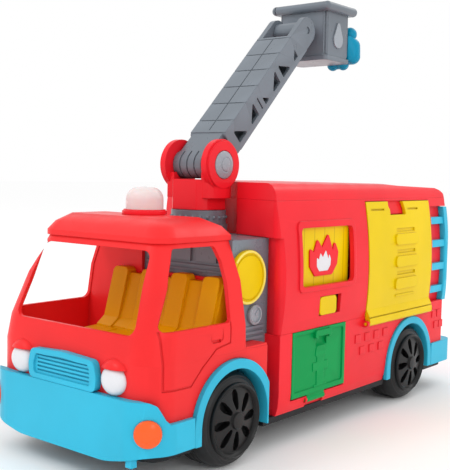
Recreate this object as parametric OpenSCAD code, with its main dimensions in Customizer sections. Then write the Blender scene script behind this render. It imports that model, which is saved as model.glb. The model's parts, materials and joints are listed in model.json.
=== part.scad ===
// Toy fire engine: cab, cargo body, lift with bucket, opening hatches, free-rolling wheels.
// Millimetres. +Z up, the front faces -Y, origin on the ground under the middle of the body.

/* [Wheels] */
// Tyre outer radius
tyre_r = 27.5; // [26:0.1:28]
// Tyre width
tyre_w = 20; // [16:0.5:21]
// Rim radius
rim_r = 20.6; // [18:0.1:22]
// Front axle position
front_y = -105; // [-107:0.5:-104]
// Rear axle position
rear_y = 103; // [100:0.5:105]
// Axle radius
axle_r = 2.5; // [2:0.1:3]
// Radial running clearance of every turning fit
fit = 0.06; // [0.02:0.01:0.09]

/* [Body] */
// Half width of the lower body
body_x = 66.5; // [66:0.1:67]
// Wall thickness of the shells
wall = 2.5; // [2:0.1:3]
// Height of the join between lower body and cargo shell
seam_z = 69.5; // [69.5:0.1:70]
// Roof height of the cargo shell
roof_z = 160.5; // [160:0.5:162]
// Lean of the cargo shell's front wall, degrees
front_lean = 18.3; // [17:0.1:19]

/* [Lift] */
// Turret centre along the vehicle
turret_y = -62; // [-62.5:0.1:-61.5]
// Height of the lift pivot
pivot_z = 171; // [171:0.5:172]
// Boom length between its two pivots
boom_len = 136.5; // [130:0.5:137]
// Rest angle of the boom above the horizontal
boom_deg = 45; // [40:1:50]
// Boom half width
boom_hw = 14.8; // [14.7:0.1:15.4]

/* [Hatches] */
// Hinge stub radius
stub_r = 1.2; // [1:0.1:1.3]
// Rungs on each rear ladder
rung_n = 4; // [4:1:4]

/* [Hidden] */

RED = "#ee323c";
DEEP = "#e01f2f";
BLUE = "#4fc0e0";
YEL = "#efd000";
GRN = "#009b57";
GREY = "#646e78";
LGREY = "#8f9aa5";
DARK = "#26282b";

axle_z = tyre_r;
rim_x = 70.5;
tyre_out = 64.5;
arch_in = 29.3;
arch_out = 34.8;
cab_back = -95;
cab_low_back = -74.4;
cab_front = -170;
deck_z = 127.5;
ring_top = 142.4;
alcove_r = 25.4;
end_y = turret_y + boom_len * cos(boom_deg);
end_z = pivot_z + boom_len * sin(boom_deg);
hatch_y0 = 37.5;
hatch_y1 = 131;
hinge_x = 68.7;
hinge_z = 64.9;
seat_x0 = -34;
seat_x1 = 55.5;
rib_w = 12.6;
rib_step = (seat_x1 - seat_x0) / 3.62;
rib_at = [for (i = [-1.5:1:1.5]) (seat_x0 + seat_x1) / 2 + i * rib_step];
flame_at = [-13, 114.4];
side_hx = 65;
side_hz = 24.6;
slope = tan(front_lean);
$fn = 64;

// Extrude a Y-Z outline along X, and an X-Z outline along Y
module along_x(x0, x1) {
  translate([x0, 0, 0])
    rotate([90, 0, 90])
      linear_extrude(x1 - x0) children();
}
module along_y(y0, y1) {
  translate([0, y1, 0])
    rotate([90, 0, 0])
      linear_extrude(y1 - y0) children();
}
module pin_x(r, x0, x1, y, z) {
  translate([x0, y, z])
    rotate([0, 90, 0])
      cylinder(r = r, h = x1 - x0);
}
module pin_y(r, y0, y1, x, z) {
  translate([x, y1, z])
    rotate([90, 0, 0])
      cylinder(r = r, h = y1 - y0);
}
module block(x0, x1, y0, y1, z0, z1) {
  translate([x0, y0, z0])
    cube([x1 - x0, y1 - y0, z1 - z0]);
}
module rrect(x0, x1, y0, y1, r) {
  offset(r = r)
    translate([x0 + r, y0 + r])
      square([x1 - x0 - 2 * r, y1 - y0 - 2 * r]);
}
module soft(r) {
  offset(r = r, $fn = 24)
    offset(delta = -r)
      children();
}
// Mirrored copy for the far side
module far() {
  mirror([1, 0, 0]) children();
}

// ---- side curve of the cargo shell: half width at height z ----
function side_x(z) = 68.4 - pow(z - 100, 2) / 500;
crown = [for (i = [0:7]) [54.2 + 9.2 * cos(i * 90 / 7), 151 + 9.5 * sin(i * 90 / 7)]];
side_pts = [for (i = [0:16]) let (z = seam_z + i * (150 - seam_z) / 16) [side_x(z), z]];
function flip(a) = [for (i = [len(a) - 1:-1:0]) [-a[i][0], a[i][1]]];
module cargo_section() {
  polygon(concat(side_pts, crown, flip(crown), flip(side_pts)));
}
// Plan of the cargo shell: the front wall runs back from the near side to the far side
function front_at(x, s) = -44.5 - x * slope + s;
module cargo_plan(s, back) {
  soft(7)
    polygon([[-70, front_at(-70, s)], [70, front_at(70, s)], [70, back], [-70, back]]);
}
// Round alcove in the front wall that clears the turning turret, and the wall that lines it
module alcove(z0, z1) {
  translate([0, turret_y, z0])
    cylinder(r = alcove_r, h = z1 - z0);
}
module alcove_wall(z0, z1) {
  translate([0, turret_y, z0])
    cylinder(r = alcove_r + wall, h = z1 - z0);
}
// Band that follows the side curve, from inset a to outset b
module side_band(a, b, z0, z1) {
  n = 18;
  out = [for (i = [0:n]) let (z = z0 + i * (z1 - z0) / n) [side_x(z) + b, z]];
  inn = [for (i = [n:-1:0]) let (z = z0 + i * (z1 - z0) / n) [side_x(z) + a, z]];
  polygon(concat(out, inn));
}

// ---- cab outlines ----
module cab_plan(fy, fx, rx, by, r) {
  intersection() {
    offset(r = r, $fn = 40)
      offset(delta = -r)
        polygon([[-fx, fy], [fx, fy], [rx, by + 40], [-rx, by + 40]]);
    translate([-90, -200])
      square([180, 200 + by]);
  }
}
module cab_slab(z, fy, fx, rx, r, d) {
  translate([0, 0, z])
    linear_extrude(0.2)
      offset(delta = -d)
        cab_plan(fy, fx, rx, cab_back, r);
}
module cab_upper(d) {
  hull() {
    cab_slab(66, cab_front, 65.5, 66.8, 18, d);
    cab_slab(80, -167.5, 64.5, 66.6, 18, d);
    cab_slab(105, -158, 59, 63, 16, d);
    cab_slab(deck_z - 0.2, -148, 49.5, 54, 13, d);
  }
}
module cab_low_plan(d) {
  offset(delta = -d)
    cab_plan(cab_front, 65.5, 66.8, cab_low_back, 18);
}
module wind_cut() {
  along_y(-185, -135)
    soft(5)
      polygon([[-49.2, 80.3], [49.2, 80.3], [43, 123.6], [-43, 123.6]]);
}
module side_cut() {
  soft(2.5)
    polygon([[-161, 83], [-107.6, 83], [-107, 103], [-106.2, 116], [-108.5, 124.8],
      [-140.6, 124.8], [-148.2, 110.5]]);
}
module far_side_cut() {
  soft(4.5)
    polygon([[-162.5, 83], [-98, 83], [-98, 124.3], [-149.5, 124.3]]);
}
module arch_cut(y) {
  pin_x(arch_out + 0.2, -80, -50, y, axle_z);
  pin_x(arch_out + 0.2, 50, 80, y, axle_z);
  block(-80, -50, y - arch_out - 0.2, y + arch_out + 0.2, 10, axle_z);
  block(50, 80, y - arch_out - 0.2, y + arch_out + 0.2, 10, axle_z);
}
// Thin groove that follows the outline of a 2D shape
module line2d(w) {
  difference() {
    children();
    offset(delta = -w) children();
  }
}

// ---- chassis ----
module chassis_plan(d) {
  offset(delta = d)
    soft(12)
      polygon([[-63.4, -167], [63.4, -167], [63.4, 171], [-63.4, 171]]);
}
module chassis_base() {
  color(DARK) {
    difference() {
      union() {
        translate([0, 0, 16])
          linear_extrude(4)
            difference() {
              chassis_plan(0);
              for (y = [front_y, rear_y])
                for (s = [-1, 1])
                  translate([s * 57, y])
                    square([32, 64], center = true);
            }
        for (y = [front_y, rear_y])
          for (s = [-1, 1])
            block(s * 37 - 3, s * 37 + 3, y - 6, y + 6, 17, 34);
      }
      for (y = [front_y, rear_y])
        pin_x(axle_r + fit, -45, 45, y, axle_z);
      block(-24, 24, -34, 28, 15, 18.1);
      block(-21, 21, -31, 25, 15, 21);
      for (p = screw_at)
        translate([p[0], p[1], 15])
          cylinder(r = 3.1, h = 2.2);
      screw_bores();
    }
  }
}
screw_at = [for (p = [[50, -58], [59.8, 45], [40, 155], [40, -150]], s = [-1, 1])
  [s * p[0], p[1]]];
// Post that a chassis screw bites into, and the bores of all the screws
module screw_post(x, y, top) {
  translate([x, y, 20])
    cylinder(r = 4.4, h = top - 20);
}
module screw_bores() {
  for (p = screw_at)
    translate([p[0], p[1], 15])
      cylinder(r = 1.5, h = 16);
}
module battery_door() {
  color(DARK)
    difference() {
      union() {
        block(-23.8, 23.8, -33.8, 27.8, 16.2, 18.1);
        block(-20.8, 20.8, -30.8, 24.8, 16.2, 19.6);
      }
      for (i = [-2:2])
        block(-14, 14, -4 + i * 5, -2 + i * 5, 15, 16.8);
    }
}
module chassis_screws() {
  color("silver")
    for (p = screw_at)
      translate([p[0], p[1], 0])
        difference() {
          union() {
            translate([0, 0, 15.6]) cylinder(r = 3, h = 1.6);
            translate([0, 0, 15.6]) cylinder(r = 1.5, h = 12);
          }
          block(-1.8, 1.8, -0.4, 0.4, 15, 16.3);
          block(-0.4, 0.4, -1.8, 1.8, 15, 16.3);
        }
}

// ---- lower body ----
module low_section(d) {
  offset(delta = -d)
    polygon([[-64.2, 20], [64.2, 20], [65.8, 25], [body_x, 32], [body_x, seam_z],
      [-body_x, seam_z], [-body_x, 32], [-65.8, 25]]);
}
module brick(y, z) {
  block(66, 67.1, y, y + 6.4, z, z + 5.6);
  far() block(66, 67.1, y, y + 6.4, z, z + 5.6);
}
module hatch_bay() {
  block(63.4, 80, -49.2, 12.2, 27, seam_z + 1);
  block(22, 80, -47, 10, 28.6, 64.5);
  block(62.8, 80, -31.2, -11.3, 15, 40);
}
module lower_body() {
  color(DEEP)
    difference() {
      union() {
        difference() {
          intersection() {
            along_y(-62, 160) low_section(0);
            translate([0, 0, 10])
              linear_extrude(70)
                soft(7)
                  polygon([[-68, -72], [68, -72], [68, 160], [-68, 160]]);
          }
          difference() {
            intersection() {
              along_y(-59.5, 157.5) low_section(wall);
              block(-90, 90, -90, 190, 10, 67);
            }
            difference() {
              block(20, 66, -49.2, 12.2, 26.4, 67);
              block(22, 67, -47, 10, 28.6, 64.5);
            }
            far() difference() {
              block(20, 66, -49.2, 12.2, 26.4, 67);
              block(22, 67, -47, 10, 28.6, 64.5);
            }
          }
          block(-61, 61, -59.5, 157.5, 10, 22.6);
          hatch_bay();
          far() hatch_bay();
        }
        for (s = [-1, 1]) {
          screw_post(s * 50, -58, 40);
          screw_post(s * 59.8, 45, 40);
          screw_post(s * 40, 155, 40);
        }
        hatch_lugs();
        far() hatch_lugs();
        for (y = [25:12.6:63]) brick(y, 52.6);
        for (y = [31.3:12.6:57]) brick(y, 43.8);
        for (y = [139.6, 148]) brick(y, 56.8);
        for (y = [143.6, 151.6]) brick(y, 48);
      }
      arch_cut(rear_y);
      screw_bores();
      stub_bores();
      far() stub_bores();
    }
}
// Lugs that carry the hinge stubs of both hatches
module hatch_lugs() {
  for (y = [-33.1, -11.2]) {
    pin_y(1.9, y, y + 1.8, side_hx, side_hz);
    block(62.5, side_hx, y, y + 1.8, 22, side_hz + 1.9);
  }
  for (y = [hatch_y0 - 3, hatch_y1 + 0.3]) {
    pin_y(2.1, y, y + 2.7, hinge_x, hinge_z);
    block(66, hinge_x, y, y + 2.7, hinge_z - 2.1, hinge_z + 2.1);
  }
}
module stub_bores() {
  pin_y(stub_r + fit, -33.2, -9.3, side_hx, side_hz);
  pin_y(stub_r + fit, hatch_y0 - 3.1, hatch_y1 + 3.1, hinge_x, hinge_z);
}

// ---- cab ----
module door_groove() {
  difference() {
    along_x(40, 80)
      line2d(1)
        polygon([[-160.6, 100], [-160.6, 52.6], [-140.5, 52.2], [-131.5, 61], [-120, 69.6],
          [-108, 71.5], [-106, 100]]);
    translate([0, 0, 10])
      linear_extrude(56.5) cab_low_plan(0.7);
    cab_upper(0.7);
    block(30, 90, -180, -90, 83.5, 110);
  }
  along_x(65.4, 70)
    line2d(0.9)
      translate([-125.4, 74])
        soft(1.5) square([11, 7.4]);
  block(64.6, 70, -123.5, -116.5, 73.2, 74.8);
}
module brow() {
  intersection() {
    translate([38.2, cab_front + 0.5, 56.5])
      scale([11.2, 6, 11.4])
        sphere(1);
    block(20, 56, -180, -169, 62.9, 72);
  }
}
module cab_shell() {
  color(RED)
    difference() {
      union() {
        difference() {
          translate([0, 0, 20])
            linear_extrude(46.01) cab_low_plan(0);
          translate([0, 0, 22.5])
            linear_extrude(44.5) cab_low_plan(wall);
          translate([0, 0, 10])
            linear_extrude(20) cab_low_plan(wall + 3);
        }
        difference() {
          cab_upper(0);
          cab_upper(wall);
        }
        // cross wall under the rear wall, and the ledge beside the pump module
        block(-64, 64, cab_back - wall, cab_back, 60, 67);
        difference() {
          block(-66, 66, cab_back, cab_low_back, 64.5, 67.2);
          block(-55.1, 55.1, cab_back, cab_low_back + 1, 60, 70);
        }
        brow();
        far() brow();
      }
      wind_cut();
      along_x(40, 80) side_cut();
      far() along_x(40, 80) far_side_cut();
      arch_cut(front_y);
      door_groove();
      far() door_groove();
      block(-53, 53, -80.5, -70, 10, 64);
      block(-55.1, 55.1, cab_back + 0.01, -70, 60, 130);
      // open behind the seat, from the far side's panel to the near pillar
      along_y(cab_back - wall - 1, cab_back + 1)
        polygon([[-15, 105], [58.8, 105], [50.6, 130], [-15, 130]]);
    }
}
module cab_floor() {
  color(DEEP)
    difference() {
      union() {
        translate([0, 0, 57.6])
          linear_extrude(2.4)
            intersection() {
              cab_low_plan(wall);
              translate([-90, -190]) square([180, 92.4]);
            }
        for (s = [-1, 1])
          screw_post(s * 40, -150, 58);
      }
      pin_x(arch_in + 2, -70, -50, front_y, axle_z);
      pin_x(arch_in + 2, 50, 70, front_y, axle_z);
      screw_bores();
    }
}
module cab_roof() {
  color("#ff4a48")
    difference() {
      union() {
        difference() {
          hull() {
            translate([0, 0, deck_z]) linear_extrude(3) cab_plan(-149.5, 50.5, 54.5, -93.6, 13);
            translate([0, 0, 135]) linear_extrude(0.6)
              offset(delta = -4) cab_plan(-149.5, 50.5, 54.5, -93.6, 15);
            translate([0, 0, 140]) linear_extrude(0.4)
              offset(delta = -13) cab_plan(-149.5, 50.5, 54.5, -93.6, 17);
          }
          hull() {
            translate([0, 0, deck_z - 1]) linear_extrude(3)
              offset(delta = -3) cab_plan(-149.5, 50.5, 54.5, -93.6, 13);
            translate([0, 0, 137.6]) linear_extrude(0.2)
              offset(delta = -15) cab_plan(-149.5, 50.5, 54.5, -93.6, 17);
          }
        }
        translate([0, -111, 128.5]) cylinder(r = 14, h = 10);
      }
      translate([0, -111, 131.5]) cylinder(r = 11.2 + fit, h = 20);
      translate([0, -111, 138.5]) cylinder(r = 12.2, h = 20);
    }
}
// Slanted seat back drawn s forward, up to height top
module seat_back(s, top) {
  along_x(seat_x0, seat_x1)
    polygon([[-117 - s, 60], [-97.6, 60], [-97.6, top], [-102.5 - s, top], [-111 - s, 76],
      [-117 - s, 71.5]]);
}
module seat_unit() {
  color(YEL)
    difference() {
      union() {
        seat_back(0, 103);
        intersection() {
          seat_back(1.5, 107);
          along_y(-125, -97)
            for (x = rib_at)
              soft(3) translate([x - rib_w / 2, 55]) square([rib_w, 51.5]);
        }
        along_x(seat_x0, seat_x1)
          soft(4)
            polygon([[-146, 50], [-104, 50], [-104, 71], [-146, 69.5]]);
      }
      for (x = rib_at)
        pin_y(1, -150, -118.6, x + rib_step / 2, 70.6);
      block(seat_x0 + 8, seat_x1 - 8, -141, -102, 55, 66);
      block(-80, 80, -160, -90, 40, 60);
    }
}

// ---- bumper, lamps and arches ----
module bump_plan() {
  offset(r = 21)
    offset(delta = -21)
      polygon([[-68.6, -174.5], [68.6, -174.5], [68.6, -90], [-68.6, -90]]);
}
module lamp_pos() {
  translate([47.6, -153.5, 32.4])
    rotate([0, 0, -47])
      rotate([0, 90, 0]) children();
}
// Side outline: tall across the front, low along the sides
module bump_side() {
  soft(2.4)
    polygon([[-190, 10], [-190, 48.5], [-168.4, 48.5], [-165.2, 46.6], [-161, 39], [-158, 36.2],
      [-60, 36.2], [-60, 10]]);
}
// Front outline: the lower edge rises towards the corners
function bump_low(x) = 14 + 6 * pow(min(1, max(0, (abs(x) - 34) / 28)), 1.2);
module bump_front() {
  polygon(concat([[-80, 60]], [for (x = [-80:4:80]) [x, bump_low(x)]], [[80, 60]]));
}
module front_bumper() {
  color(BLUE)
    difference() {
      union() {
        intersection() {
          translate([0, 0, 12])
            linear_extrude(40) bump_plan();
          along_x(-90, 90) bump_side();
          along_y(-190, -60) bump_front();
        }
        block(50, 54.5, -173, -169, 13.6, 18);
      }
      block(-90, 90, front_y - arch_out - 0.1, -80, 10, 60);
      translate([0, 0, 19.99])
        linear_extrude(40) cab_low_plan(0);
      translate([0, 0, 10])
        linear_extrude(15) cab_low_plan(wall);
      translate([0, 0, 10])
        linear_extrude(10) chassis_plan(0.1);
      lamp_pos() translate([0, 0, 12]) cylinder(r = 7.3, h = 12);
      far() lamp_pos() translate([0, 0, 12]) cylinder(r = 7.3, h = 12);
    }
}
module grille() {
  color(BLUE)
    difference() {
      along_y(-174.2, -170.02)
        soft(4)
          polygon([[-27.6, 48.5], [27.6, 48.5], [28.2, 57], [26, 65.4], [0, 66.8], [-26, 65.4],
            [-28.2, 57]]);
      along_y(-175, -173)
        soft(2)
          polygon([[-23.5, 51.5], [23.5, 51.5], [23.8, 57], [22, 62.2], [0, 63.4], [-22, 62.2],
            [-23.8, 57]]);
      for (i = [0:4])
        block(-21.5, 21.5, -175, -172, 53 + i * 2.2, 53.9 + i * 2.2);
    }
}
module headlight() {
  color("white")
    intersection() {
      translate([38.2, cab_front, 56.6])
        scale([9, 5, 8])
          sphere(1);
      block(20, 60, -180, cab_front, 48.6, 62.9);
    }
}
module headlight_left() { headlight(); }
module headlight_right() { far() headlight(); }
module indicator() {
  color("#fb7030")
    lamp_pos()
      intersection() {
        translate([0, 0, 17.4]) cylinder(r = 7.3, h = 7);
        translate([0, 0, 12.4]) sphere(r = 12.2);
      }
}
module indicator_left() { indicator(); }
module indicator_right() { far() indicator(); }

module arch_shape(y, r, foot) {
  translate([y, axle_z]) circle(r = r);
  translate([y - r, foot]) square([2 * r, axle_z - foot]);
}
module front_arch_one() {
  color(BLUE)
    intersection() {
      union() {
        along_x(64.9, 68.6)
          difference() {
            arch_shape(front_y, arch_out, 20);
            arch_shape(front_y, arch_in, 10);
          }
        along_x(51, 66)
          difference() {
            arch_shape(front_y, arch_in + 1.8, 20);
            arch_shape(front_y, arch_in, 10);
          }
      }
      block(40, 80, -150, cab_low_back, 19.5, 90);
    }
}
module front_arch_left() { front_arch_one(); }
module front_arch_right() { far() front_arch_one(); }
module rear_arch_one() {
  color(BLUE)
    intersection() {
      union() {
        along_x(64.9, 68.2)
          difference() {
            arch_shape(rear_y, arch_out, 20);
            arch_shape(rear_y, arch_in, 10);
          }
        along_x(51, 66)
          difference() {
            arch_shape(rear_y, arch_in + 1.8, 20);
            arch_shape(rear_y, arch_in, 10);
          }
      }
      block(40, 80, 60, 145, 20, 90);
    }
}
module rear_arch_left() { rear_arch_one(); }
module rear_arch_right() { far() rear_arch_one(); }
module rear_bumper() {
  color(BLUE)
    difference() {
      translate([0, 0, 20])
        linear_extrude(17)
          soft(10)
            polygon([[-68.2, 100], [68.2, 100], [68.2, 175], [-68.2, 175]]);
      block(-90, 90, 80, rear_y + arch_out + 0.1, 10, 60);
      intersection() {
        along_y(90, 160) low_section(0);
        translate([0, 0, 10])
          linear_extrude(70)
            soft(7)
              polygon([[-68, -72], [68, -72], [68, 160], [-68, 160]]);
      }
      block(-64, 64, 100, 160, 15, 40);
      translate([0, 0, 15])
        linear_extrude(19.5)
          soft(8)
            polygon([[-63, 140], [63, 140], [63, 172], [-63, 172]]);
    }
}

// ---- pump module ----
module pump_plan(d) {
  polygon([[-55 + d, cab_back + d], [55 - d, cab_back + d], [55 - d, front_at(55, 2.5) - d],
    [-55 + d, front_at(-55, 2.5) - d]]);
}
module pump_module() {
  color(GREY)
    difference() {
      union() {
        difference() {
          translate([0, 0, 60])
            linear_extrude(deck_z - 60)
              pump_plan(0);
          translate([0, 0, 55])
            linear_extrude(deck_z - 60 + 2.5) pump_plan(2.5);
        }
        // boss under the turntable
        translate([0, turret_y, 112]) cylinder(r = 12, h = deck_z - 112);
        for (z = [67.5, 70.7, 73.9])
          block(54, 55.9, -93, -64.5, z, z + 1.8);
        // lockers and slats on the face behind the seat
        for (i = [0:2])
          block(-12 + i * 20, 4 + i * 20, cab_back - 1.2, cab_back + 1, 113.4, 123.6);
        for (z = [107.6, 110.4])
          block(-13, 48, cab_back - 0.8, cab_back + 1, z, z + 1.4);
      }
      translate([0, turret_y, 100]) cylinder(r = 8.3, h = 40);
      block(-90, 90, -62, 20, 50, seam_z);
      block(-90, -50, -90, 20, 50, 67.2);
      // clear of the cab shell's rear wall on the far side
      block(-90, -14.6, cab_back - 2, cab_back + 0.02, 50, 130);
    }
}
module pump_disc() {
  color(YEL)
    difference() {
      pin_x(16, 55, 57.6, -81.8, 105.4);
      difference() {
        pin_x(13.8, 57, 60, -81.8, 105.4);
        pin_x(12.8, 56, 60, -81.8, 105.4);
      }
      // flat where the cab's rear edge covers it
      block(50, 60, -100, cab_back + 0.1, 85, 125);
    }
}
module pump_dial() {
  color(LGREY)
    difference() {
      pin_x(6, 55, 57.2, -74, 82.4);
      pin_x(4.6, 56.6, 60, -74, 82.4);
    }
}

// ---- cargo body ----
module ladder_bay() {
  along_y(hatch_y1 + 2.2, 161)
    side_band(-4.4, 6, 68.5, 143.6);
}
module hatch_recess() {
  along_y(hatch_y0 - 0.4, hatch_y1 + 0.4)
    side_band(-2.3, 8, seam_z - 0.5, 148.6);
}
module cargo_solid(s, top) {
  intersection() {
    along_y(-80, 160) cargo_section();
    union() {
      translate([0, 0, deck_z + 0.3])
        linear_extrude(60) cargo_plan(0, 160);
      translate([0, 0, 60])
        linear_extrude(deck_z - 59.6) cargo_plan(2.5, 160);
    }
    block(-90, 90, -90, 190, seam_z, top);
  }
}
module cargo_shell() {
  color(DEEP)
    difference() {
      union() {
        difference() {
          cargo_solid(0, 150);
          difference() {
            intersection() {
              along_y(-80, 157.4) offset(delta = -wall) cargo_section();
              translate([0, 0, 60])
                linear_extrude(100) cargo_plan(5.4, 157.4);
            }
            alcove_wall(deck_z - wall, 170);
          }
          block(-58, 58, 20, 150, 60, 75);
        }
        // thickening behind the hatches and the ladders
        for (s = [-1, 1])
          intersection() {
            cargo_solid(0, 150);
            block(s * 64 - 5.6, s * 64 + 5.6, 30, 159, seam_z, 150);
          }
        // raised lip round the picture window
        intersection() {
          along_y(-47, 20.5) side_band(-2, 0.9, 93, 138);
          along_x(50, 80)
            soft(4) translate([-46.4, 93.6]) square([66, 43.8]);
        }
      }
      hatch_recess();
      far() hatch_recess();
      along_x(40, 80)
        soft(3) translate([43, 77]) square([82, 62]);
      far() along_x(40, 80)
        soft(3) translate([43, 77]) square([82, 62]);
      ladder_bay();
      far() ladder_bay();
      along_x(56, 80)
        soft(3) translate([-43, 96.6]) square([59.6, 36.6]);
      block(60, 80, -21.9, 3, 77, 89.2);
      alcove(deck_z, 160);
    }
}
module roof_side() {
  polygon([[-80, 150], [-80, roof_z], [72, roof_z], [92, 159.2], [148, 157.6], [154, 156],
    [158.5, 153.4], [160, 150]]);
}
module cargo_roof() {
  color(DEEP)
    difference() {
      intersection() {
        along_y(-80, 160) cargo_section();
        translate([0, 0, 150]) linear_extrude(20) cargo_plan(0, 160);
        along_x(-80, 80) roof_side();
      }
      difference() {
        intersection() {
          along_y(-80, 157.4) offset(delta = -wall) cargo_section();
          translate([0, 0, 140]) linear_extrude(30) cargo_plan(3, 157.4);
          along_x(-80, 80) translate([0, -wall]) roof_side();
        }
        alcove_wall(140, 170);
      }
      alcove(140, 170);
    }
}
module picture_panel() {
  color(YEL)
    block(61.4, 63.4, -44.6, 18.2, 95, 134.8);
}
module flame(k) {
  scale([k, k])
    soft(1.4)
      polygon([[-10, -12.5], [10, -12.5], [16, -6], [17, 2], [12, 10], [10.5, 3], [4.5, 14.5],
        [-2.5, 5.5], [-8, 11.5], [-11.5, 3], [-16.5, 6], [-16, -6]]);
}
module picture_emblem() {
  color(DEEP)
    along_x(63.4, 64.4)
      translate(flame_at)
        difference() {
          flame(1);
          translate([0, -3.4]) flame(0.5);
        }
}
module picture_core() {
  color("white")
    along_x(63.4, 64.3)
      translate(flame_at)
        translate([0, -3.4]) flame(0.5);
}
module rear_ladder_one() {
  color(BLUE) {
    intersection() {
      along_y(155.6, 162)
        side_band(-4.3, 0.3, seam_z, 143);
      translate([0, 0, 60]) linear_extrude(90)
        soft(2.5) polygon([[50, 155.4], [68.6, 155.4], [68.6, 161.4], [50, 161.4]]);
    }
    for (i = [0:rung_n - 1])
      intersection() {
        along_y(hatch_y1 + 2.3, 158)
          side_band(-4.3, -0.9, 68, 145);
        block(40, 80, 100, 170, 76.4 + i * 17.8, 81.8 + i * 17.8);
      }
  }
}
module rear_ladder_left() { rear_ladder_one(); }
module rear_ladder_right() { far() rear_ladder_one(); }

// ---- hatches ----
module ramp_hatch_one() {
  color(YEL)
    difference() {
      union() {
        along_y(hatch_y0, hatch_y1)
          side_band(-2, 0.5, 67.2, 148.2);
        pin_y(2, hatch_y0, hatch_y1, hinge_x, hinge_z);
        along_y(hatch_y0, hatch_y1)
          polygon([[66.9, hinge_z], [70.6, hinge_z], [70.4, 69], [67.5, 74], [66, 74],
            [65.6, 71.2], [66.9, 70.4]]);
        pin_y(stub_r, hatch_y0 - 2.6, hatch_y1 + 2.6, hinge_x, hinge_z);
        // climbing holds down the middle
        for (z = [85, 101, 117])
          intersection() {
            along_y(74, 108) side_band(0, 1.8, z, z + 8);
            along_x(60, 80)
              soft(3) translate([74, z]) square([33, 8]);
          }
        along_y(76, 104) side_band(0, 1.1, 79.6, 81.2);
      }
      along_x(60, 80)
        polygon([[67.6, 150], [90.2, 150], [90.2, 147], [92.4, 142], [92.4, 138.6],
          [69.6, 138.6], [69.6, 142], [67.6, 145]]);
      for (y = [[43.5, 61.5], [96, 112]])
        along_y(y[0], y[1]) side_band(-0.7, 3, 142, 143.2);
      for (z = [95.4, 111, 126.4])
        along_y(77, 104) side_band(-0.5, 3, z, z + 2.4);
      // crease above the hinge barrel
      block(69.3, 72, hatch_y0 - 1, hatch_y1 + 1, 68.5, 69.2);
      block(60, 66.6, 20, 150, 60, seam_z + 0.5);
    }
}
module ramp_hatch_left() { ramp_hatch_one(); }
module ramp_hatch_right() { far() ramp_hatch_one(); }
module hydrant2d() {
  translate([-4, -15]) square([8, 22]);
  translate([-7, -17]) square([14, 4]);
  translate([0, 8]) circle(r = 5.4);
  translate([-5.6, 5.4]) square([11.2, 2.6]);
  translate([-1.4, 12]) square([2.8, 3.6]);
  translate([-8.6, -4]) square([17.2, 5.4]);
}
module side_hatch_one() {
  color(GRN)
    difference() {
      union() {
        block(63.8, 66, -48.8, 11.8, 28, 69.2);
        difference() {
          block(66, 66.8, -48.8, 11.8, 28, 69.2);
          along_x(60, 70)
            soft(1.5) translate([-46.6, 31.4]) square([55.4, 35.4]);
        }
        along_x(65, 66.45) translate([-17, 45.6]) hydrant2d();
        block(64.1, 66.2, -31, -11.5, side_hz, 28.4);
        pin_y(1.9, -31, -11.5, side_hx, side_hz);
        pin_y(stub_r, -32.9, -9.6, side_hx, side_hz);
        intersection() {
          along_x(65, 68.2)
            soft(2) translate([-25.5, 62.6]) square([18.5, 5.4]);
          pin_y(9, -40, 10, 60, 66);
        }
      }
      pin_y(3.4, -22.5, -10, 67.6, 60.6);
    }
}
module side_hatch_left() { side_hatch_one(); }
module side_hatch_right() { far() side_hatch_one(); }
module side_latch() {
  color(YEL) {
    along_x(63.5, 68.3)
      soft(2.6) translate([-21.7, 77.2]) square([19.1, 11.8]);
    block(61.6, 64, -24.2, 0, 75.2, 91);
  }
}

// ---- beacon ----
module beacon_ring() {
  color(DEEP)
    translate([0, -111, 138.5])
      difference() {
        union() {
          cylinder(r = 13.4, h = 4.2);
          translate([0, 0, 4.2]) cylinder(r = 12.6, h = 0.8);
        }
        translate([0, 0, -1]) cylinder(r = 11.2 + fit, h = 8);
        translate([0, 0, -0.01]) difference() {
          cylinder(r = 20, h = 1.91);
          cylinder(r = 12.2, h = 1.91);
        }
      }
}
module beacon_dome() {
  color("#e9e4e2")
    translate([0, -111, 0])
      rotate_extrude()
        polygon(concat([[0, 141], [8, 141], [8, 134.2], [11.2, 134.2], [11.2, 149.4]],
          [for (i = [1:12]) [4.4 + 6.8 * cos(i * 7.5), 149.4 + 7.2 * sin(i * 7.5)]],
          [[0, 157]]));
}
// Stacked coils of the return spring, between the cup's floor and the dome's ceiling
module beacon_spring() {
  color("silver")
    translate([0, -111, 131.5])
      rotate_extrude()
        for (i = [0:5])
          translate([5.4, 0.9 + i * 1.54]) circle(r = 0.9, $fn = 16);
}

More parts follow.
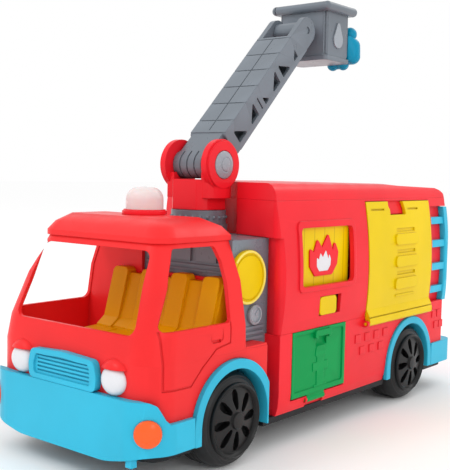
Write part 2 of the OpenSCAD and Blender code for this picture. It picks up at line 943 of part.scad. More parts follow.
// ---- lift ----
module turntable_ring() {
  color(GREY)
    difference() {
      union() {
        translate([0, turret_y, deck_z]) cylinder(r = 18.6, h = 6);
        translate([0, turret_y, deck_z]) cylinder(r = 17.6, h = ring_top - deck_z);
        for (a = [0:15:345])
          rotate_about(a) translate([17.3, 0, 138]) sphere(r = 1.25, $fn = 20);
      }
      translate([0, turret_y, deck_z - 1]) cylinder(r = 8.2 + fit, h = 30);
    }
}
module rotate_about(a) {
  translate([0, turret_y, 0])
    rotate([0, 0, a]) children();
}
module ear() {
  pin_x(16, 15, 19.2, turret_y, pivot_z);
  pin_x(14.8, 19, 20.6, turret_y, pivot_z);
}
module turret() {
  color(DEEP)
    difference() {
      union() {
        intersection() {
          translate([0, turret_y, ring_top + 0.2]) cylinder(r = 17, h = 19);
          block(-14.9, 14.9, turret_y - 14, turret_y + 14, 140, 170);
        }
        for (s = [-1, 1])
          intersection() {
            translate([0, turret_y, ring_top + 2]) cylinder(r = 20.5, h = 22);
            block(s * 16 - 4.5, s * 16 + 4.5, turret_y - 11.5, turret_y + 11.5, 150, 166);
          }
        ear();
        far() ear();
        translate([0, turret_y, deck_z - 12]) cylinder(r = 8.2, h = 30);
      }
      pin_x(10.2, -15, 15, turret_y, pivot_z);
      pin_x(3, -30, 30, turret_y, pivot_z);
      pin_x(9, 19.8, 24, turret_y, pivot_z);
      pin_x(9, -24, -19.8, turret_y, pivot_z);
      block(-15, 15, turret_y - 20, turret_y + 20, pivot_z, 200);
      block(-15, 15, turret_y, turret_y + 30, 161.4, 200);
    }
}
module lift_pin() {
  color(LGREY) {
    pin_x(3, -20.2, 20.2, turret_y, pivot_z);
    for (s = [0, 1])
      mirror([s, 0, 0])
        difference() {
          intersection() {
            pin_x(8.6, 19.8, 24, turret_y, pivot_z);
            translate([4.2, turret_y, pivot_z]) sphere(r = 18.6);
          }
          difference() {
            pin_x(5, 22, 24, turret_y, pivot_z);
            pin_x(4.2, 21, 25, turret_y, pivot_z);
          }
        }
  }
}
// Boom drawn lying along +Y from its pivot, then lifted to the rest angle
module lifted() {
  translate([0, turret_y, pivot_z])
    rotate([boom_deg, 0, 0]) children();
}
module truss_side() {
  difference() {
    soft(3)
      polygon([[18, -9.2], [boom_len - 14, -9.2], [boom_len - 14, 9.2], [18, 9.2]]);
    for (i = [0:5]) {
      y = 26 + i * 16.4;
      soft(0.8) polygon([[y, -5.6], [y + 11.4, -5.6], [y + (i % 2) * 11.4, 4.6]]);
    }
  }
}
module boom() {
  color(GREY)
    lifted()
      difference() {
        union() {
          // root drum and neck
          pin_x(8.9, -14.8, 14.8, 0, 0);
          block(-12.6, 12.6, 0, 24, 2, 8.9);
          block(-12.6, 12.6, 2, 24, -8, 4);
          // deck plate with cross grooves
          difference() {
            block(-boom_hw, boom_hw, 20, boom_len - 18, 6.8, 9.4);
            for (i = [0:5])
              block(-20, 20, 31 + i * 17, 31.8 + i * 17, 8.9, 12);
            block(-0.4, 0.4, 22, boom_len - 20, 9, 12);
          }
          // trussed side rails with the fork at the far end
          for (s = [-1, 1])
            along_x(s * (boom_hw - 1.4) - 1.4, s * (boom_hw - 1.4) + 1.4) truss_side();
          for (s = [-1, 1])
            along_x(s * (boom_hw - 2.1) - 2.1, s * (boom_hw - 2.1) + 2.1)
              union() {
                translate([boom_len, 0]) circle(r = 9.2);
                translate([boom_len - 22, -9.2]) square([22, 18.4]);
              }
          for (s = [-1, 1])
            block(s * (boom_hw - 1) - 1, s * (boom_hw - 1) + 1, 24, boom_len - 10, -9.6, -8.2);
          // bottom plate between the rails
          block(-13, 13, 22, boom_len - 24, -9, -7.7);
          block(-boom_hw, boom_hw, 60, 64, -6, 8);
          block(-boom_hw, boom_hw, 104, 108, -6, 8);
        }
        pin_x(3 + fit, -20, 20, 0, 0);
        pin_x(2.2 + fit, -20, 20, boom_len, 0);
        // ribs of the root drum
        for (x = [-9, -3, 3, 9])
          difference() {
            pin_x(12, x - 0.5, x + 0.5, 0, 0);
            pin_x(8.2, x - 1, x + 1, 0, 0);
            block(-20, 20, 3, 20, -20, 20);
          }
      }
}
bk_x = 20.6;
bk_y0 = end_y + 14.4;
bk_y1 = end_y + 45.6;
bk_top = end_z + 15.6;
bk_bot = end_z - 17.4;
module drop2d() {
  soft(1)
    union() {
      circle(r = 6);
      polygon([[-5.6, 2], [5.6, 2], [1.2, 12], [-1.2, 12]]);
    }
}
module bucket() {
  color(GREY)
    difference() {
      union() {
        // body with chamfered corners
        translate([0, 0, bk_bot])
          linear_extrude(bk_top - bk_bot)
            polygon([[-bk_x + 3, bk_y0], [bk_x - 3, bk_y0], [bk_x, bk_y0 + 3], [bk_x, bk_y1 - 3],
              [bk_x - 3, bk_y1], [-bk_x + 3, bk_y1], [-bk_x, bk_y1 - 3], [-bk_x, bk_y0 + 3]]);
        // foot flange
        translate([0, 0, bk_bot - 1.6])
          linear_extrude(3)
            soft(3)
              polygon([[-bk_x - 0.8, bk_y0 - 0.8], [bk_x + 0.8, bk_y0 - 0.8],
                [bk_x + 0.8, bk_y1 + 0.8], [-bk_x - 0.8, bk_y1 + 0.8]]);
        // rolled rim
        for (y = [bk_y0 - 1.6, bk_y1 + 1.6])
          pin_x(3.2, -bk_x - 1.6, bk_x + 1.6, y, bk_top + 3);
        for (x = [-bk_x - 1.6, bk_x + 1.6]) {
          pin_y(3.2, bk_y0 - 1.6, bk_y1 + 1.6, x, bk_top + 3);
          for (y = [bk_y0 - 1.6, bk_y1 + 1.6])
            translate([x, y, bk_top + 3]) sphere(r = 3.3);
        }
        translate([0, 0, bk_top - 0.2])
          linear_extrude(3.4)
            polygon([[-bk_x - 1, bk_y0 - 1], [bk_x + 1, bk_y0 - 1], [bk_x + 1, bk_y1 + 1],
              [-bk_x - 1, bk_y1 + 1]]);
        // corner ribs
        for (s = [-1, 1])
          for (y = [bk_y0, bk_y1])
            for (k = [0, 1])
              translate([s * (bk_x - 0.9 - k * 1.4), y + (y < bk_y1 ? 0.6 + (1 - k) * 1.4 : -0.6
                - (1 - k) * 1.4), bk_bot + 3])
                cylinder(r = 0.7, h = bk_top - bk_bot - 3, $fn = 20);
        // hinge arm between the fork arms
        block(-9.6, 9.6, end_y, bk_y0 + 1, end_z - 4.6, end_z + 4.6);
        pin_x(6.4, -10.4, 10.4, end_y, end_z);
        pin_x(2.2, -14, 14, end_y, end_z);
      }
      block(-bk_x + 2.2, bk_x - 2.2, bk_y0 + 2.2, bk_y1 - 2.2, bk_bot + 1.4, bk_top + 9);
    }
}
// Drop-shaped badge on each side of the bucket
module bucket_badges() {
  color(LGREY)
    for (x = [bk_x, -bk_x - 1])
      along_x(x, x + 1)
        translate([(bk_y0 + bk_y1) / 2, bk_bot + 14]) drop2d();
}
module water_cannon() {
  y0 = bk_y1 + 0.8;
  z0 = bk_bot - 1.6;
  color("#00a8c8") {
    hull() {
      for (x = [6, 19.4])
        translate([x, y0 + 7, z0 + 6.4]) sphere(r = 5.8, $fn = 24);
      for (x = [8, 18.4])
        translate([x, y0 + 7, z0 + 14]) sphere(r = 6.4, $fn = 24);
      block(3, 20, bk_y1, y0 + 2, bk_bot + 1.6, z0 + 21);
    }
    translate([16.6, y0 + 7, z0 + 23]) sphere(r = 5.2);
    for (x = [3, 12])
      translate([x, y0 + 6, z0 + 1]) sphere(r = 4.4);
    pin_x(3.4, 3, 12, y0 + 6, z0 + 1);
  }
}

// ---- wheels ----
module wheel_at(y, s) {
  translate([0, y, axle_z])
    mirror([s < 0 ? 1 : 0, 0, 0])
      rotate([0, 90, 0]) children();
}
module tyre() {
  color(DARK)
    rotate_extrude($fn = 96)
      polygon([[rim_r, tyre_out - tyre_w], [tyre_r - 2, tyre_out - tyre_w],
        [tyre_r - 0.5, tyre_out - tyre_w + 0.7], [tyre_r, tyre_out - tyre_w + 2.4],
        [tyre_r, tyre_out - 4.6], [tyre_r - 0.5, tyre_out - 2.4], [tyre_r - 1.9, tyre_out - 0.4],
        [tyre_r - 3.6, tyre_out + 1.3], [rim_r + 1, tyre_out + 2.4], [rim_r, tyre_out + 2.6]]);
}
module pocket2d() {
  soft(1)
    polygon([[6.2, -1], [10, -1.6], [15, -1.6], [17.6, -0.4], [17.9, 1.6], [16, 3.4], [12, 3.2],
      [8.6, 2], [6.2, 1]]);
}
module rim() {
  color("#3b3d40")
    difference() {
      rotate_extrude($fn = 96)
        polygon([[axle_r, 41], [5.4, 41], [5.4, 50], [rim_r - 2.2, 60], [rim_r - 2.2, 45],
          [rim_r, 45], [rim_r, tyre_out + 2.6], [rim_r + 0.9, tyre_out + 3], [rim_r + 0.6,
          tyre_out + 4.4], [rim_r - 0.4, tyre_out + 5], [rim_r - 1.4, tyre_out + 4.2],
          [rim_r - 2.2, 67.2], [8, 69], [5, 69.2], [4.6, 70.6], [axle_r, rim_x + 0.3],
          [0, rim_x + 0.4], [0, 69.4], [axle_r, 69.4]]);
      for (a = [0:45:315])
        rotate([0, 0, a])
          translate([0, 0, 64.4]) linear_extrude(8) pocket2d();
    }
}
module tyre_front_left() { wheel_at(front_y, 1) tyre(); }
module tyre_front_right() { wheel_at(front_y, -1) tyre(); }
module tyre_rear_left() { wheel_at(rear_y, 1) tyre(); }
module tyre_rear_right() { wheel_at(rear_y, -1) tyre(); }
module rim_front_left() { wheel_at(front_y, 1) rim(); }
module rim_front_right() { wheel_at(front_y, -1) rim(); }
module rim_rear_left() { wheel_at(rear_y, 1) rim(); }
module rim_rear_right() { wheel_at(rear_y, -1) rim(); }
module axle(y) {
  color("silver") pin_x(axle_r, -69.2, 69.2, y, axle_z);
}
module axle_front() { axle(front_y); }
module axle_rear() { axle(rear_y); }

chassis_base();
battery_door();
chassis_screws();
lower_body();
cab_shell();
cab_floor();
cab_roof();
seat_unit();
front_bumper();
grille();
headlight_left();
headlight_right();
indicator_left();
indicator_right();
front_arch_left();
front_arch_right();
rear_arch_left();
rear_arch_right();
rear_bumper();
pump_module();
pump_disc();
pump_dial();
cargo_shell();
cargo_roof();
picture_panel();
picture_emblem();
picture_core();
rear_ladder_left();
rear_ladder_right();
beacon_ring();
beacon_spring();
beacon_dome();
turntable_ring();
turret();
lift_pin();
boom();
bucket();
bucket_badges();
water_cannon();
ramp_hatch_left();
ramp_hatch_right();
side_hatch_left();
side_hatch_right();
side_latch();
axle_front();
axle_rear();
tyre_front_left();
tyre_front_right();
tyre_rear_left();
tyre_rear_right();
rim_front_left();
rim_front_right();
rim_rear_left();
rim_rear_right();
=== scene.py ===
"""Looks of the toy fire engine: rounded edges, procedural plastics, turned tyres, trim, light and camera.

Lengths are in millimetres and MM turns them into metres, except in the studio, which is in metres.
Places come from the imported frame.
"""
import json
import math

import bmesh
import bpy
from mathutils import Matrix, Vector


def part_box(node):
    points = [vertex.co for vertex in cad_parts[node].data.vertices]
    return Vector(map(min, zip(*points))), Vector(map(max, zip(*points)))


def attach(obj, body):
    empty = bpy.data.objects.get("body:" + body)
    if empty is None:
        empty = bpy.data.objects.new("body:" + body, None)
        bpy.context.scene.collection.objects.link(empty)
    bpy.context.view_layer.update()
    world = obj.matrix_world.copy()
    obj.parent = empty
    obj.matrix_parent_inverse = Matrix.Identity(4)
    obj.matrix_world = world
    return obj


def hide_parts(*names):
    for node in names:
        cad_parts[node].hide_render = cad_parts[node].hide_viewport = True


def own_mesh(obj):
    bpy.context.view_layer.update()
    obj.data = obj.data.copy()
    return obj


MM = 0.001
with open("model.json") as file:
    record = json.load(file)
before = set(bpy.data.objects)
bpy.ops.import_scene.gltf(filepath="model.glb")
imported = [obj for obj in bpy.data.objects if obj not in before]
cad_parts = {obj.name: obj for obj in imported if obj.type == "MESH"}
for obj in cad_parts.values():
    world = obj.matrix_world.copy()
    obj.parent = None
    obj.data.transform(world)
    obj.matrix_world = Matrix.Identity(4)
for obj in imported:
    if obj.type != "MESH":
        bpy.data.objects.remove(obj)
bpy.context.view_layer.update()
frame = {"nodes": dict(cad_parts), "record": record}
NODES = frame["nodes"]
SLOT_OF = {part["node"]: part["material_slot"] for part in frame["record"]["subparts"]}
FULL_TURN = 2 * math.pi


# ---------------------------------------------------------------- camera
EYE = Vector((363.53, -477.65, 166.0)) * MM
YAW, PITCH, ROLL = (math.radians(angle) for angle in (39.39, 4.121, 1.187))
LENS, SENSOR = 66.03, 36.0
CLIP_NEAR, CLIP_FAR = 10 * MM, 20000 * MM


def make_camera():
    """Camera at EYE, turned left by YAW, down by PITCH and tipped by ROLL."""
    ahead = Vector((-math.sin(YAW) * math.cos(PITCH), math.cos(YAW) * math.cos(PITCH), -math.sin(PITCH)))
    level = Vector((math.cos(YAW), math.sin(YAW), 0))
    above = level.cross(ahead)
    right = math.cos(ROLL) * level + math.sin(ROLL) * above
    up = -math.sin(ROLL) * level + math.cos(ROLL) * above
    data = bpy.data.cameras.new("camera")
    data.lens, data.sensor_width = LENS, SENSOR
    data.clip_start, data.clip_end = CLIP_NEAR, CLIP_FAR
    cam = bpy.data.objects.new("camera", data)
    turn = Matrix((right, up, -ahead)).transposed().to_4x4()
    cam.matrix_world = Matrix.Translation(EYE) @ turn
    bpy.context.scene.collection.objects.link(cam)
    bpy.context.scene.camera = cam


# ---------------------------------------------------------------- materials
FACTOR, COLOUR_A, COLOUR_B, MIXED = 0, 6, 7, 2  # the Mix node's sockets for colours, by number


def srgb(r, g, b):
    """0 to 255 display colour as linear RGBA."""
    def lin(c):
        c /= 255
        return c / 12.92 if c <= 0.04045 else ((c + 0.055) / 1.055) ** 2.4
    return (lin(r), lin(g), lin(b), 1)


class Tree:
    """A node tree with short calls to add and join nodes."""

    def __init__(self, name):
        self.mat = bpy.data.materials.new(name)
        self.mat.use_nodes = True
        self.tree = self.mat.node_tree
        self.tree.nodes.clear()
        self.out = self.add("ShaderNodeOutputMaterial")
        self.shader = self.add("ShaderNodeBsdfPrincipled")
        self.join(self.shader, "BSDF", self.out, "Surface")
        self.coord = self.add("ShaderNodeTexCoord")

    def add(self, kind, **values):
        node = self.tree.nodes.new(kind)
        for key, value in values.items():
            setattr(node, key, value)
        return node

    def join(self, a, out, b, into):
        self.tree.links.new(a.outputs[out], b.inputs[into])

    def noise(self, scale, detail=3, rough=0.5):
        node = self.add("ShaderNodeTexNoise")
        node.inputs["Scale"].default_value = scale
        node.inputs["Detail"].default_value = detail
        node.inputs["Roughness"].default_value = rough
        self.join(self.coord, "Object", node, "Vector")
        return node

    def span(self, node, out, lo, hi, start=0.3, stop=0.7):
        """Maps start..stop of an output to lo..hi."""
        ramp = self.add("ShaderNodeMapRange")
        for key, value in (("From Min", start), ("From Max", stop), ("To Min", lo), ("To Max", hi)):
            ramp.inputs[key].default_value = value
        self.join(node, out, ramp, "Value")
        return ramp

    def mix(self, factor, a, b):
        """Colour mix by a (node, output); a and b are colours or (node, output)."""
        node = self.add("ShaderNodeMix", data_type="RGBA")
        for value, socket in ((a, COLOUR_A), (b, COLOUR_B)):
            if isinstance(value[0], float):
                node.inputs[socket].default_value = value
            else:
                self.join(*value, node, socket)
        self.join(*factor, node, FACTOR)
        return node

    def boards(self, pitch):
        """A thin line every pitch mm along Y, faded to 0 between."""
        split = self.add("ShaderNodeSeparateXYZ")
        self.join(self.coord, "Object", split, "Vector")
        ramp = self.add("ShaderNodeMath", operation="PINGPONG")
        ramp.inputs[1].default_value = pitch * MM / 2
        self.join(split, "Y", ramp, 0)
        return self.span(ramp, "Value", BOARD_INK, 0, BOARD_LINE * MM, BOARD_FADE * MM)

    def bump(self, height, out, depth, strength, before=None):
        """Bump of a height output, on top of another normal if before is given."""
        node = self.add("ShaderNodeBump")
        node.inputs["Distance"].default_value = depth
        node.inputs["Strength"].default_value = strength
        self.join(height, out, node, "Height")
        if before:
            self.join(before, "Normal", node, "Normal")
        return node


def scaled(colour, k):
    """A linear colour made k times as bright."""
    return tuple(min(1.0, c * k) for c in colour[:3]) + (1,)


# Noise scales, in waves per metre
DRIFT, SPECK, WEAR, SINK, GRAIN, TARNISH, SCRATCH = 22, 900, 60, 26, 900, 140, 2600
# Brightness of each tint, as a multiple of the material's own colour
# Of these tints, the edge tint is a painted highlight and the corner tint is painted shade
DULL, BRIGHT, FLECK, EDGE_GLINT, CORNER_SHADE, INK = 0.94, 1.05, 1.25, 1.5, 0.62, 0.7
# Lengths in mm: depth of the sink marks, rounding of edges in the shading, reach of the painted shade from a
# corner, the steel's scratches, and how deep light goes into a soft plastic
SINK_DEPTH, SOFT_EDGE, CORNER_SHADE_REACH, SCRATCH_DEPTH, GLOW_DEPTH = 0.25, 0.7, 5, 0.01, 2
# Printed board lines: strength, half width in mm and where they have faded out
BOARD_INK, BOARD_LINE, BOARD_FADE = 0.8, 0.2, 0.6
PLASTIC_IOR = 1.49


def plastic_colour(t, colour, edge, planks):
    """Tone drift, pale flecks, painted highlights on sharp edges, painted shade in the corners and printed
    board lines.
    """
    drift = t.noise(DRIFT, 3)
    speck = t.noise(SPECK, 2)
    tone = t.mix((t.span(drift, "Fac", 0, 1), "Result"), scaled(colour, DULL), scaled(colour, BRIGHT))
    fleck = t.mix((t.span(speck, "Fac", 0, 0.12, 0.55, 0.8), "Result"), (tone, MIXED), scaled(colour, FLECK))
    shape = t.add("ShaderNodeNewGeometry")
    # Painted highlight: sharp edges, found by pointiness, get a paler colour as if they caught the light
    edge_glint = t.span(shape, "Pointiness", 0, 0.22 * edge, 0.52, 0.6)
    edged = t.mix((edge_glint, "Result"), (fleck, MIXED), scaled(colour, EDGE_GLINT))
    # Painted shade: the colour darkens in corners and creases, which an ambient occlusion node finds
    corner = t.add("ShaderNodeAmbientOcclusion", samples=6)
    corner.inputs["Distance"].default_value = CORNER_SHADE_REACH * MM
    shade = t.span(corner, "AO", 0.55, 1, 0.15, 0.8)
    dark = t.mix((shade, "Result"), scaled(colour, CORNER_SHADE), (edged, MIXED))
    if planks:
        dark = t.mix((t.boards(planks), "Result"), (dark, MIXED), scaled(colour, INK))
    t.join(dark, MIXED, t.shader, "Base Color")


def plastic_surface(t, rough, grain, grain_depth):
    """Uneven gloss, and a normal from softened edges, slow sink-mark waves and fine tool grain."""
    wear = t.noise(WEAR, 4, 0.6)
    gloss = t.span(wear, "Fac", rough * 0.85, rough * 1.2)
    t.join(gloss, "Result", t.shader, "Roughness")
    round_off = t.add("ShaderNodeBevel", samples=4)
    round_off.inputs["Radius"].default_value = SOFT_EDGE * MM
    waves = t.bump(t.noise(SINK, 1), "Fac", SINK_DEPTH * MM, 0.5, round_off)
    fine = t.bump(t.noise(GRAIN / grain, 2), "Fac", grain_depth * MM, 1, waves)
    t.join(fine, "Normal", t.shader, "Normal")


def plastic(name, colour, rough=0.34, grain=0.35, grain_depth=0.02, edge=0.7, coat=0.0, soft=0.0, spec=0.2,
            planks=0.0):
    """Moulded plastic. edge scales the painted highlight on sharp edges. planks is the pitch in mm of faint
    printed board lines along Y, or 0 for none.
    """
    t = Tree(name)
    plastic_colour(t, colour, edge, planks)
    plastic_surface(t, rough, grain, grain_depth)
    t.shader.inputs["IOR"].default_value = PLASTIC_IOR
    t.shader.inputs["Specular IOR Level"].default_value = spec
    t.shader.inputs["Coat Weight"].default_value = coat
    t.shader.inputs["Coat Roughness"].default_value = 0.2
    if soft:
        t.shader.inputs["Subsurface Weight"].default_value = soft
        t.shader.inputs["Subsurface Radius"].default_value = (0.9, 0.5, 0.4)
        t.shader.inputs["Subsurface Scale"].default_value = GLOW_DEPTH * MM
    return t.mat


def metal(name, colour, rough):
    """Steel with fine scratches and a little tarnish."""
    t = Tree(name)
    tarnish = t.noise(TARNISH, 5, 0.6)
    tone = t.mix((t.span(tarnish, "Fac", 0, 1), "Result"), scaled(colour, 0.75), scaled(colour, 1.1))
    t.join(tone, MIXED, t.shader, "Base Color")
    t.shader.inputs["Metallic"].default_value = 1
    scratch = t.noise(SCRATCH, 2)
    t.join(t.span(scratch, "Fac", rough * 0.7, rough * 1.4), "Result", t.shader, "Roughness")
    t.join(t.bump(scratch, "Fac", SCRATCH_DEPTH * MM, 1), "Normal", t.shader, "Normal")
    return t.mat


YELLOW = (230, 194, 0)
# Display colour of each slot, and what its plastic changes from the usual finish
PLASTICS = {
    "black_plastic": ((30, 31, 34), dict(rough=0.45)),
    "deep_red_plastic": ((238, 31, 44), dict(rough=0.33)),
    "red_plastic": ((236, 40, 42), dict(rough=0.36)),
    "yellow_plastic": (YELLOW, dict(rough=0.34, spec=0.12)),
    "blue_plastic": ((48, 180, 212), dict(rough=0.36)),
    "white_lens": ((222, 222, 226), dict(rough=0.18, coat=0.3)),
    "orange_lens": ((244, 94, 34), dict(rough=0.25, coat=0.2)),
    "grey_plastic": ((106, 114, 123), dict(rough=0.3, edge=1.5, spec=0.5)),
    "silver_plastic": ((150, 157, 165), dict(rough=0.26, edge=1.5, spec=0.7)),
    "beacon_plastic": ((226, 212, 210), dict(rough=0.25, soft=0.5, spec=0.3)),
    "cyan_plastic": ((0, 142, 178), dict(rough=0.3, soft=0.1)),
    "green_plastic": ((0, 150, 76), dict(rough=0.34, spec=0.1)),
    "tyre_rubber": ((22, 22, 23), dict(rough=0.38, grain=0.5, grain_depth=0.03, spec=0.4)),
    "rim_plastic": ((19, 19, 20), dict(rough=0.34, spec=0.3)),
}
MATERIALS = {name: plastic(name, srgb(*colour), **finish) for name, (colour, finish) in PLASTICS.items()}
MATERIALS["steel"] = metal("steel", srgb(190, 192, 196), 0.28)
# Nodes that don't take their slot's own material
SPECIAL = {
    "picture_panel": plastic("printed_panel", srgb(*YELLOW), spec=0.12, planks=11.5),
    # Painted shade: the seat is the same yellow plastic as the rest, coloured darker orange for the shade of
    # the cab around it
    "seat_unit": plastic("seat_yellow_in_painted_shade", srgb(226, 160, 0), spec=0.1),
}
PALE = plastic("pale_yellow", srgb(246, 226, 110), rough=0.3)


# ---------------------------------------------------------------- CAD nodes: rounded edges and finish
# Edge rounding in mm, by node name without its side
EDGE = {
    "cab_roof": 1.2, "cargo_roof": 0.8, "front_bumper": 0.9, "rear_bumper": 1.0, "seat_unit": 0.9,
    "turret": 0.8, "cab_shell": 0.35, "cargo_shell": 0.35, "lower_body": 0.35, "front_arch": 0.7,
    "rear_arch": 0.7, "side_latch": 0.8, "water_cannon": 0.8, "lift_pin": 0.5, "headlight": 0.5,
    "indicator": 0.4, "bucket_badges": 0.45, "bucket": 0.5, "boom": 0.4, "grille": 0.5,
}
USUAL_EDGE = 0.3
WELD = 0.002  # mm
COPLANAR, CREASED = math.radians(0.3), math.radians(32)
EVEN_BY_AREA = 70


def round_edges(obj, width):
    """Weld, drop flat triangulation, round every sharp edge, and even out the shading."""
    obj.modifiers.new("weld", "WELD").merge_threshold = WELD * MM
    flat = obj.modifiers.new("flat", "DECIMATE")
    flat.decimate_type, flat.angle_limit = "DISSOLVE", COPLANAR
    edge = obj.modifiers.new("edge", "BEVEL")
    edge.width, edge.segments, edge.limit_method = width * MM, 3, "ANGLE"
    edge.angle_limit, edge.use_clamp_overlap, edge.miter_outer = CREASED, True, "MITER_ARC"
    obj.modifiers.new("even", "WEIGHTED_NORMAL").weight = EVEN_BY_AREA
    for poly in obj.data.polygons:
        poly.use_smooth = True


def finish_cad_nodes():
    """Round the edges of every CAD node and give it its material."""
    for name, obj in NODES.items():
        if "custom_normal" in obj.data.attributes:
            obj.data.attributes.remove(obj.data.attributes["custom_normal"])
        family = name.removesuffix("_left").removesuffix("_right")
        round_edges(obj, EDGE.get(family, USUAL_EDGE))
        obj.data.materials.clear()
        obj.data.materials.append(SPECIAL.get(name, MATERIALS[SLOT_OF[name]]))


# ---------------------------------------------------------------- pieces made here
SHARP = math.radians(38)


def piece(name, bm, body, material):
    """A new object from a bmesh, riding on a body."""
    bmesh.ops.recalc_face_normals(bm, faces=bm.faces)
    mesh = bpy.data.meshes.new(name)
    bm.to_mesh(mesh)
    bm.free()
    for poly in mesh.polygons:
        poly.use_smooth = True
    mesh.set_sharp_from_angle(angle=SHARP)
    mesh.materials.append(material)
    obj = bpy.data.objects.new(name, mesh)
    bpy.context.scene.collection.objects.link(obj)
    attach(obj, body)
    return obj


def skin(bm, rings, closed):
    """Quads between neighbouring rings of vertices; closed joins the last ring to the first."""
    n = len(rings[0])
    for a, b in zip(rings, rings[1:] + rings[:1] if closed else rings[1:]):
        for k in range(n):
            bm.faces.new((a[k], a[(k + 1) % n], b[(k + 1) % n], b[k]))


def bead(name, points, radius, body, material, out_at=None, sides=10):
    """Round bead along open points in mm. out_at gives the outward direction at a point, by default X."""
    bm = bmesh.new()
    rings = []
    pts = [Vector(p) * MM for p in points]
    for i, p in enumerate(pts):
        ahead = (pts[min(i + 1, len(pts) - 1)] - pts[max(i - 1, 0)]).normalized()
        out = out_at(p) if out_at else Vector((1, 0, 0))
        across = ahead.cross(out).normalized()
        out = across.cross(ahead)
        angles = [FULL_TURN * k / sides for k in range(sides)]
        spokes = [math.cos(a) * across + math.sin(a) * out for a in angles]
        rings.append([bm.verts.new(p + radius * MM * spoke) for spoke in spokes])
    skin(bm, rings, False)
    bm.faces.new(rings[0])
    bm.faces.new(rings[-1][::-1])
    return piece(name, bm, body, material)


def middle(node):
    """Middle and highest corner of a node's box, in mm."""
    lo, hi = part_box(node)
    return (Vector(lo) + Vector(hi)) / 2 / MM, Vector(hi) / MM


def disc_trim():
    """Pale bead round the pump disc, broken where the cab's edge covers it."""
    mid, hi = middle("pump_disc")
    disc_radius, radius, thick, reach, steps = 16, 15.1, 0.7, math.radians(143), 40
    centre_y = hi.y - disc_radius
    ring = [(hi.x, centre_y + radius * math.cos(a), mid.z + radius * math.sin(a))
            for a in (reach * (i / steps - 1) for i in range(2 * steps + 1))]
    bead("disc_bead", ring, thick, "vehicle", PALE)


def dial_trim():
    """Raised ring and hand on the pump dial."""
    mid, hi = middle("pump_dial")
    radius, ring_thick, hand_thick, hand_sunk, steps = 4.9, 0.5, 0.45, 0.4, 32
    tip_y, tip_z = 2.2, 2.6
    ring = [(hi.x, mid.y + radius * math.cos(a), mid.z + radius * math.sin(a))
            for a in (FULL_TURN * i / steps for i in range(steps + 1))]
    bead("dial_ring", ring, ring_thick, "vehicle", MATERIALS["silver_plastic"])
    face = hi.x - hand_sunk
    hand = [(face, mid.y, mid.z), (face, mid.y + tip_y, mid.z + tip_z)]
    bead("dial_hand", hand, hand_thick, "vehicle", MATERIALS["silver_plastic"])


def return_spring():
    """Coil spring under the beacon, filling the box of the CAD spring it replaces."""
    lo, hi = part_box("beacon_spring")
    wire, turns, steps, clearance = 0.8, 5, 24, 0.2
    mid_x, mid_y = (lo[0] + hi[0]) / 2, (lo[1] + hi[1]) / 2
    radius = (hi[0] - lo[0]) / 2 - wire * MM
    low, high = lo[2] + wire * MM, hi[2] - wire * MM
    coil = []
    for i in range(turns * steps + 1):
        a = FULL_TURN * i / steps
        height = low + (high - low) * i / (turns * steps)
        coil.append(Vector((mid_x + radius * math.cos(a), mid_y + radius * math.sin(a), height)) / MM)

    def away(p):
        return Vector((p.x - mid_x, p.y - mid_y, 0)).normalized()

    spring = bead("return_spring", coil, wire, "vehicle", MATERIALS["steel"], away, 8)
    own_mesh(spring)
    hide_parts("beacon_spring")


TREAD = 27.5  # outer radius of a tyre


def groove(start, stop, depth=0.5, slope=0.2):
    """A tread groove between two distances from the vehicle's middle plane."""
    return [(TREAD, start), (TREAD - depth, start + slope), (TREAD - depth, stop - slope), (TREAD, stop)]


# Section of a tyre from its inner bead to its outer one: radius, and distance from the vehicle's middle
INNER_WALL = [(20.6, 44.6), (25.2, 44.6), (26.6, 45.3), (27.3, 46.5), (TREAD, 48)]
OUTER_WALL = [(TREAD, 60), (27.15, 62), (26.4, 63.4), (25.7, 64.2), (25.35, 64.9), (24.8, 65.5), (24.4, 65.4),
              (23.9, 65.9), (22.7, 66.6), (22.3, 66.5), (21.7, 66.9), (20.6, 67.1)]
TYRE = INNER_WALL + groove(50.2, 51.2) + groove(53.7, 54.8) + groove(57.2, 58.2) + OUTER_WALL
TYRE_STEPS = 120


def turned_tyre(node, body):
    """Tyre turned from its section, with tread grooves and sidewall steps."""
    lo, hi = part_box(node)
    side = 1 if hi[0] > 0 else -1
    axle_y, axle_z = (lo[1] + hi[1]) / 2, (lo[2] + hi[2]) / 2
    bm = bmesh.new()
    rings = []
    for k in range(TYRE_STEPS):
        y, z = math.cos(FULL_TURN * k / TYRE_STEPS), math.sin(FULL_TURN * k / TYRE_STEPS)
        rings.append([bm.verts.new((side * x * MM, axle_y + r * MM * y, axle_z + r * MM * z))
                      for r, x in TYRE])
    skin(bm, rings, True)
    obj = piece("turned_" + node, bm, body, MATERIALS["tyre_rubber"])
    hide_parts(node)


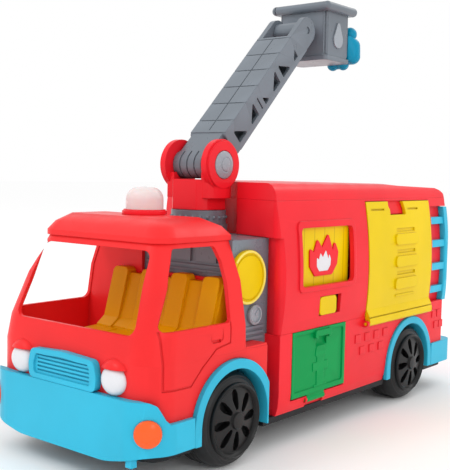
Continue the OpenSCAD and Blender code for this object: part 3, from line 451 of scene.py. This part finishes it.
# ---------------------------------------------------------------- light and floor
# Each soft light: name, place and aim in metres, diameter in metres, power in watts
LIGHTS = [
    ("key", (-0.5, -1.1, 1.3), (0, 0, 0.1), 0.5, 4),
    ("fill", (1.5, -0.7, 0.9), (0, 0, 0.1), 0.6, 3),
    ("rim", (0.3, 1.3, 1.4), (0, 0, 0.15), 0.6, 3),
]
WHITE = (1, 1, 1, 1)
FLOOR_WHITE = (0.985, 0.985, 0.985, 1)
FLOOR_HALF = 9


def area(name, place, aim, size, power):
    """A round area light."""
    data = bpy.data.lights.new(name, "AREA")
    data.shape, data.size, data.energy = "DISK", size, power
    obj = bpy.data.objects.new(name, data)
    obj.location = place
    obj.rotation_euler = (Vector(aim) - Vector(place)).to_track_quat("-Z", "Y").to_euler()
    bpy.context.scene.collection.objects.link(obj)


def make_sky():
    """Plain white light from all sides."""
    world = bpy.data.worlds.new("studio")
    bpy.context.scene.world = world
    world.use_nodes = True
    sky = world.node_tree.nodes["Background"]
    sky.inputs["Color"].default_value = WHITE
    sky.inputs["Strength"].default_value = 1.0


def make_floor():
    """A pale matt floor at the wheels' feet."""
    mesh = bpy.data.meshes.new("floor")
    corners = [(x * FLOOR_HALF, y * FLOOR_HALF, 0) for x, y in ((-1, -1), (1, -1), (1, 1), (-1, 1))]
    mesh.from_pydata(corners, [], [(0, 1, 2, 3)])
    floor = bpy.data.objects.new("floor", mesh)
    bpy.context.scene.collection.objects.link(floor)
    t = Tree("floor_paint")
    t.shader.inputs["Base Color"].default_value = FLOOR_WHITE
    t.shader.inputs["Roughness"].default_value = 1
    t.shader.inputs["Specular IOR Level"].default_value = 0
    mesh.materials.append(t.mat)


def make_studio():
    """The light and the floor."""
    bpy.context.scene.view_settings.view_transform = "Standard"
    make_sky()
    for light in LIGHTS:
        area(*light)
    make_floor()


make_camera()
finish_cad_nodes()
disc_trim()
dial_trim()
return_spring()
for end in ("front", "rear"):
    for hand in ("left", "right"):
        turned_tyre(f"tyre_{end}_{hand}", f"{end}_axle_set")
make_studio()
